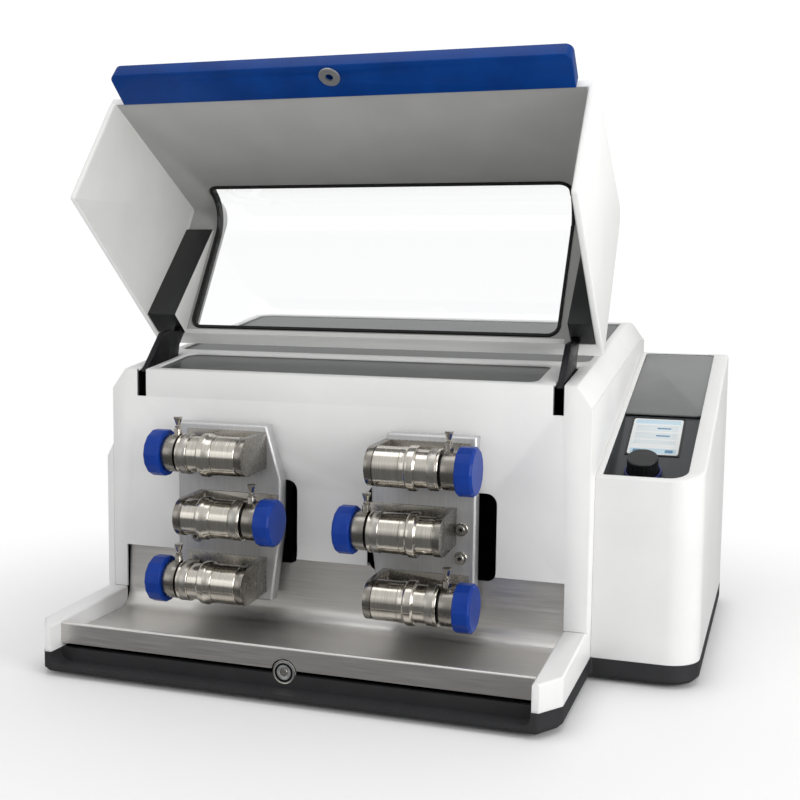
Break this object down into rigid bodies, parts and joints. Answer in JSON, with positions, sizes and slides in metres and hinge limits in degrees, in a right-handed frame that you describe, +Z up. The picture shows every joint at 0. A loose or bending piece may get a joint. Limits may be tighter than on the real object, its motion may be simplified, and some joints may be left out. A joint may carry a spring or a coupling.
{
  "type": "mixer mill",
  "caption": "Bench mixer mill with an opening windowed lid, swinging rocker arms that carry clamped grinding jars, a steel tray and a knob-operated control side.",
  "frame": {"origin": "on the bench, below the centre of the machine's bounding box", "axes": "+X to the operator's right along the width, +Y to the rear, +Z up"},
  "size_m": [0.69, 0.5864, 0.6668],
  "materials": {
    "white_paint": "satin powder coat",
    "pan_plastic": "fine grained",
    "rubber": "matte",
    "dark_sheet": "satin dark grey",
    "panel_gloss": "gloss",
    "display_glass": "clear over a pale screen",
    "blue_plastic": "semi-gloss blue",
    "blue_paint": "gloss blue",
    "stainless": "brushed",
    "polished_steel": "turned and polished",
    "cast_alloy": "cast",
    "black_plastic": "matte",
    "clear_plastic": "clear",
    "black_steel": "black coat",
    "motor_paint": "grey paint",
    "circuit": "solder mask"
  },
  "bodies": {
    "housing": {"base_pan": "pan_plastic", "rubber_feet": "rubber", "left_side_cover": "white_paint", "right_side_cover": "white_paint", "front_wall": "white_paint", "front_top_plate": "dark_sheet", "rear_hood": "white_paint", "top_panel": "dark_sheet", "rear_panel": "dark_sheet", "mains_inlet": "black_plastic", "fan_frame": "black_plastic", "control_housing": "white_paint", "control_cover": "dark_sheet", "control_panel": "panel_gloss", "display": "display_glass", "knob_ring": "blue_plastic", "chamber_tray": "stainless", "latch_housing": "black_steel", "drive_frame": "cast_alloy", "rocker_shafts": "polished_steel", "drive_motor": "motor_paint", "control_board": "circuit", "hinge_brackets": "black_steel"},
    "lid": {"lid_shell": "white_paint", "lid_window": "clear_plastic", "window_gasket": "rubber", "handle_bar": "blue_paint", "lock_stud": "polished_steel", "lid_arms": "black_steel", "arm_covers": "black_plastic"},
    "knob_stem": {"knob_shaft": "polished_steel"},
    "knob": {"knob_cap": "black_plastic"},
    "mains_switch": {"power_switch": "black_plastic"},
    "fan": {"fan_rotor": "black_plastic"},
    "crank": {"crankshaft": "polished_steel"},
    "latch": {"latch_plunger": "polished_steel"},
    "rocker_left": {"rocker_arm_left": "cast_alloy", "rocker_plate_left": "polished_steel", "cradles_left": "polished_steel", "grinding_jar_left_upper": "polished_steel", "grinding_jar_left_middle": "polished_steel", "grinding_jar_left_lower": "polished_steel"},
    "clamp_left_upper": {"clamp_knob_left_upper": "blue_plastic"},
    "pin_left_upper": {"lock_pin_left_upper": "polished_steel"},
    "clamp_left_middle": {"clamp_knob_left_middle": "blue_plastic"},
    "pin_left_middle": {"lock_pin_left_middle": "polished_steel"},
    "clamp_left_lower": {"clamp_knob_left_lower": "blue_plastic"},
    "pin_left_lower": {"lock_pin_left_lower": "polished_steel"},
    "rocker_right": {"rocker_arm_right": "cast_alloy", "rocker_plate_right": "polished_steel", "cradles_right": "polished_steel", "grinding_jar_right_upper": "polished_steel", "grinding_jar_right_middle": "polished_steel", "grinding_jar_right_lower": "polished_steel"},
    "clamp_right_upper": {"clamp_knob_right_upper": "blue_plastic"},
    "pin_right_upper": {"lock_pin_right_upper": "polished_steel"},
    "clamp_right_middle": {"clamp_knob_right_middle": "blue_plastic"},
    "pin_right_middle": {"lock_pin_right_middle": "polished_steel"},
    "clamp_right_lower": {"clamp_knob_right_lower": "blue_plastic"},
    "pin_right_lower": {"lock_pin_right_lower": "polished_steel"}
  },
  "joints": [
    {"name": "lid_hinge", "type": "hinge", "parent": "housing", "child": "lid", "pos_m": [0, -0.07475, 0.309], "axis": [1, 0, 0], "range_deg": [0, 131]},
    {"name": "knob_press", "type": "slide", "parent": "housing", "child": "knob_stem", "axis": [0, 0.4254, -0.905], "range_m": [0, 0.001], "stiffness_N_per_m": 600, "springref_m": -0.001},
    {"name": "knob_turn", "type": "hinge", "parent": "knob_stem", "child": "knob", "pos_m": [0.275, -0.04475, 0.21701], "axis": [0, -0.4254, 0.905], "continuous": true},
    {"name": "switch_rock", "type": "hinge", "parent": "housing", "child": "mains_switch", "pos_m": [0.125, 0.28525, 0.108], "axis": [1, 0, 0], "range_deg": [0, 12]},
    {"name": "fan_spin", "type": "hinge", "parent": "housing", "child": "fan", "pos_m": [-0.155, 0.27325, 0.17], "axis": [0, 1, 0], "continuous": true},
    {"name": "crank_spin", "type": "hinge", "parent": "housing", "child": "crank", "pos_m": [-0.0575, 0.03825, 0.2], "axis": [0, 0, 1], "continuous": true},
    {"name": "latch_slide", "type": "slide", "parent": "housing", "child": "latch", "axis": [0, -1, 0], "range_m": [0, 0.003]},
    {"name": "rocker_swing_left", "type": "hinge", "parent": "housing", "child": "rocker_left", "pos_m": [-0.1735, -0.04175, 0.154], "axis": [0, 0, 1], "range_deg": [-4, 4]},
    {"name": "clamp_turn_left_upper", "type": "hinge", "parent": "rocker_left", "child": "clamp_left_upper", "pos_m": [-0.233, -0.20375, 0.2367], "axis": [-1, 0, 0], "range_deg": [0, 720]},
    {"name": "pin_lift_left_upper", "type": "slide", "parent": "rocker_left", "child": "pin_left_upper", "axis": [0, 0, 1], "range_m": [0, 0.005], "stiffness_N_per_m": 300, "springref_m": -0.003},
    {"name": "clamp_turn_left_middle", "type": "hinge", "parent": "rocker_left", "child": "clamp_left_middle", "pos_m": [-0.103, -0.20375, 0.167], "axis": [1, 0, 0], "range_deg": [0, 720]},
    {"name": "pin_lift_left_middle", "type": "slide", "parent": "rocker_left", "child": "pin_left_middle", "axis": [0, 0, 1], "range_m": [0, 0.005], "stiffness_N_per_m": 300, "springref_m": -0.003},
    {"name": "clamp_turn_left_lower", "type": "hinge", "parent": "rocker_left", "child": "clamp_left_lower", "pos_m": [-0.233, -0.20375, 0.0947], "axis": [-1, 0, 0], "range_deg": [0, 720]},
    {"name": "pin_lift_left_lower", "type": "slide", "parent": "rocker_left", "child": "pin_left_lower", "axis": [0, 0, 1], "range_m": [0, 0.005], "stiffness_N_per_m": 300, "springref_m": -0.003},
    {"name": "rocker_swing_right", "type": "hinge", "parent": "housing", "child": "rocker_right", "pos_m": [0.0585, -0.04175, 0.154], "axis": [0, 0, 1], "range_deg": [-4, 4]},
    {"name": "clamp_turn_right_upper", "type": "hinge", "parent": "rocker_right", "child": "clamp_right_upper", "pos_m": [0.118, -0.20375, 0.2367], "axis": [1, 0, 0], "range_deg": [0, 720]},
    {"name": "pin_lift_right_upper", "type": "slide", "parent": "rocker_right", "child": "pin_right_upper", "axis": [0, 0, 1], "range_m": [0, 0.005], "stiffness_N_per_m": 300, "springref_m": -0.003},
    {"name": "clamp_turn_right_middle", "type": "hinge", "parent": "rocker_right", "child": "clamp_right_middle", "pos_m": [-0.012, -0.20375, 0.167], "axis": [-1, 0, 0], "range_deg": [0, 720]},
    {"name": "pin_lift_right_middle", "type": "slide", "parent": "rocker_right", "child": "pin_right_middle", "axis": [0, 0, 1], "range_m": [0, 0.005], "stiffness_N_per_m": 300, "springref_m": -0.003},
    {"name": "clamp_turn_right_lower", "type": "hinge", "parent": "rocker_right", "child": "clamp_right_lower", "pos_m": [0.118, -0.20375, 0.0947], "axis": [1, 0, 0], "range_deg": [0, 720]},
    {"name": "pin_lift_right_lower", "type": "slide", "parent": "rocker_right", "child": "pin_right_lower", "axis": [0, 0, 1], "range_m": [0, 0.005], "stiffness_N_per_m": 300, "springref_m": -0.003}
  ],
  "couplings": [
    {"joint": "rocker_swing_right", "follows": "rocker_swing_left", "ratio": -1}
  ]
}
